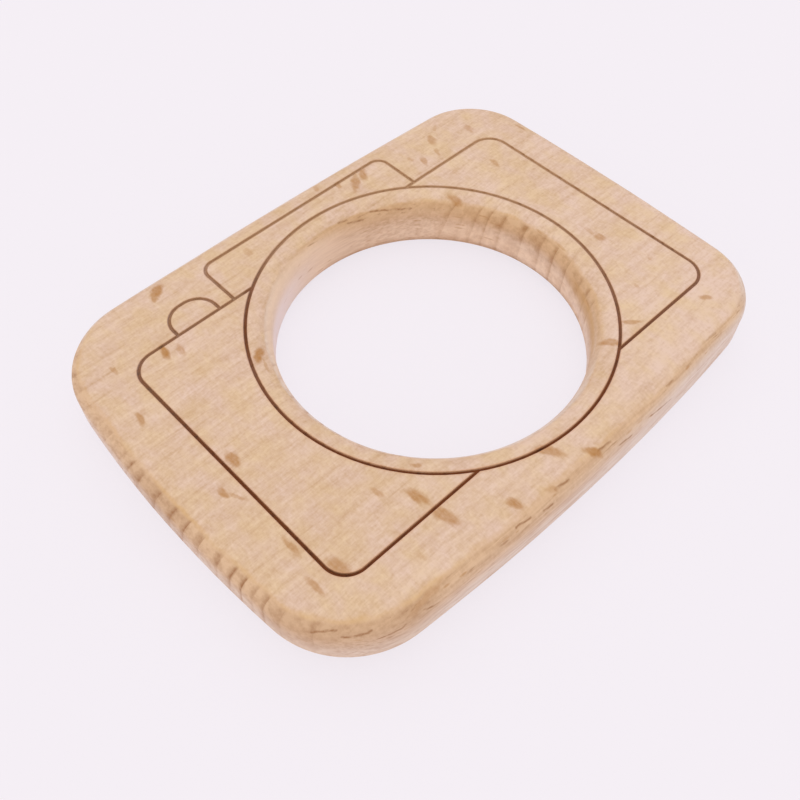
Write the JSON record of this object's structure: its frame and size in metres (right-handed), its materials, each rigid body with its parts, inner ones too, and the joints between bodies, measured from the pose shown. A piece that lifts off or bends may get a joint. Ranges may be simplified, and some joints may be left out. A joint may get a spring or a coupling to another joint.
{
  "type": "toy camera",
  "caption": "Flat wooden toy camera: a rounded plate with a round lens hole and the camera's front burnt in as thin grooves.",
  "frame": {"origin": "middle of the plate's outline, on the flat back that it lies on", "axes": "+X along the camera's width and the wood's grain, to the right as the drawn front is seen; +Y to the camera's top; +Z out of the drawn front"},
  "size_m": [0.09, 0.0674, 0.01],
  "materials": {
    "beech": "sanded smooth, bare, with laser-burnt lines"
  },
  "bodies": {
    "root": {"beech_body": "beech"}
  },
  "joints": []
}
